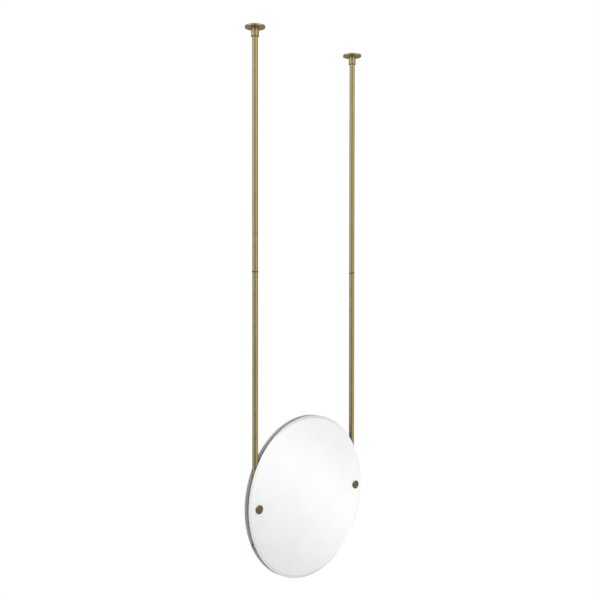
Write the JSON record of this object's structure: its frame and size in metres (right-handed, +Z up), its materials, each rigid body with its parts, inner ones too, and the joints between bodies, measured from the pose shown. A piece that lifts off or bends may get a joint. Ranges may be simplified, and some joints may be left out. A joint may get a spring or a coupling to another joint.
{
  "type": "ceiling-hung mirror",
  "caption": "Round frameless bevelled mirror clamped by brass knobs to a pair of vertical rods that hang from the ceiling.",
  "frame": {"origin": "on the ceiling, centre of the four ceiling screw holes, midway between the rods and on their axes", "axes": "+Z up into the ceiling, the mirror faces -Y, +X from the left rod to the right rod"},
  "size_m": [0.5587, 0.0666, 1.8514],
  "materials": {
    "mirror_glass": "silvered float glass, polished bevel",
    "backing_film": "grey safety film",
    "grey_paint": "satin grey powder coat on sheet steel",
    "antique_brass": "brushed antique brass",
    "dark_brass": "antique brass, darkened in the turned edges",
    "raw_brass": "machined brass",
    "zinc_steel": "zinc-plated steel",
    "dark_steel": "blackened steel",
    "black_rubber": "matt rubber",
    "nylon": "natural nylon"
  },
  "bodies": {
    "frame": {"mirror_glass": "mirror_glass", "mirror_backing": "backing_film", "rear_panel": "grey_paint", "left_ceiling_plate": "zinc_steel", "left_rod_top_insert": "raw_brass", "left_upper_rod": "antique_brass", "left_rod_coupler": "dark_brass", "left_lower_rod": "antique_brass", "left_end_cap": "antique_brass", "left_glass_pad": "black_rubber", "left_panel_pad": "black_rubber", "left_glass_bush": "nylon", "left_rear_washer": "antique_brass", "left_through_bolt": "dark_steel", "right_ceiling_plate": "zinc_steel", "right_rod_top_insert": "raw_brass", "right_upper_rod": "antique_brass", "right_rod_coupler": "dark_brass", "right_lower_rod": "antique_brass", "right_end_cap": "antique_brass", "right_glass_pad": "black_rubber", "right_panel_pad": "black_rubber", "right_glass_bush": "nylon", "right_rear_washer": "antique_brass", "right_through_bolt": "dark_steel"},
    "left_cover": {"left_ceiling_cover": "antique_brass", "left_cover_screw": "dark_steel"},
    "left_knob_washer": {"left_front_washer": "nylon"},
    "left_knob": {"left_front_knob": "antique_brass"},
    "right_cover": {"right_ceiling_cover": "antique_brass", "right_cover_screw": "dark_steel"},
    "right_knob_washer": {"right_front_washer": "nylon"},
    "right_knob": {"right_front_knob": "antique_brass"}
  },
  "joints": [
    {"name": "left_cover_slide", "type": "slide", "parent": "frame", "child": "left_cover", "axis": [0, 0, -1], "range_m": [0, 0.757]},
    {"name": "left_knob_travel", "type": "slide", "parent": "frame", "child": "left_knob_washer", "axis": [0, -1, 0], "range_m": [0, 0.0075]},
    {"name": "left_knob_turn", "type": "hinge", "parent": "left_knob_washer", "child": "left_knob", "pos_m": [-0.24, 0, -1.572], "axis": [0, -1, 0], "range_deg": [0, 2700]},
    {"name": "right_cover_slide", "type": "slide", "parent": "frame", "child": "right_cover", "axis": [0, 0, -1], "range_m": [0, 0.757]},
    {"name": "right_knob_travel", "type": "slide", "parent": "frame", "child": "right_knob_washer", "axis": [0, -1, 0], "range_m": [0, 0.0075]},
    {"name": "right_knob_turn", "type": "hinge", "parent": "right_knob_washer", "child": "right_knob", "pos_m": [0.24, 0, -1.572], "axis": [0, -1, 0], "range_deg": [0, 2700]}
  ],
  "couplings": [
    {"joint": "left_knob_travel", "follows": "left_knob_turn", "m_per_rad": 0.00015915},
    {"joint": "right_knob_travel", "follows": "right_knob_turn", "m_per_rad": 0.00015915}
  ]
}
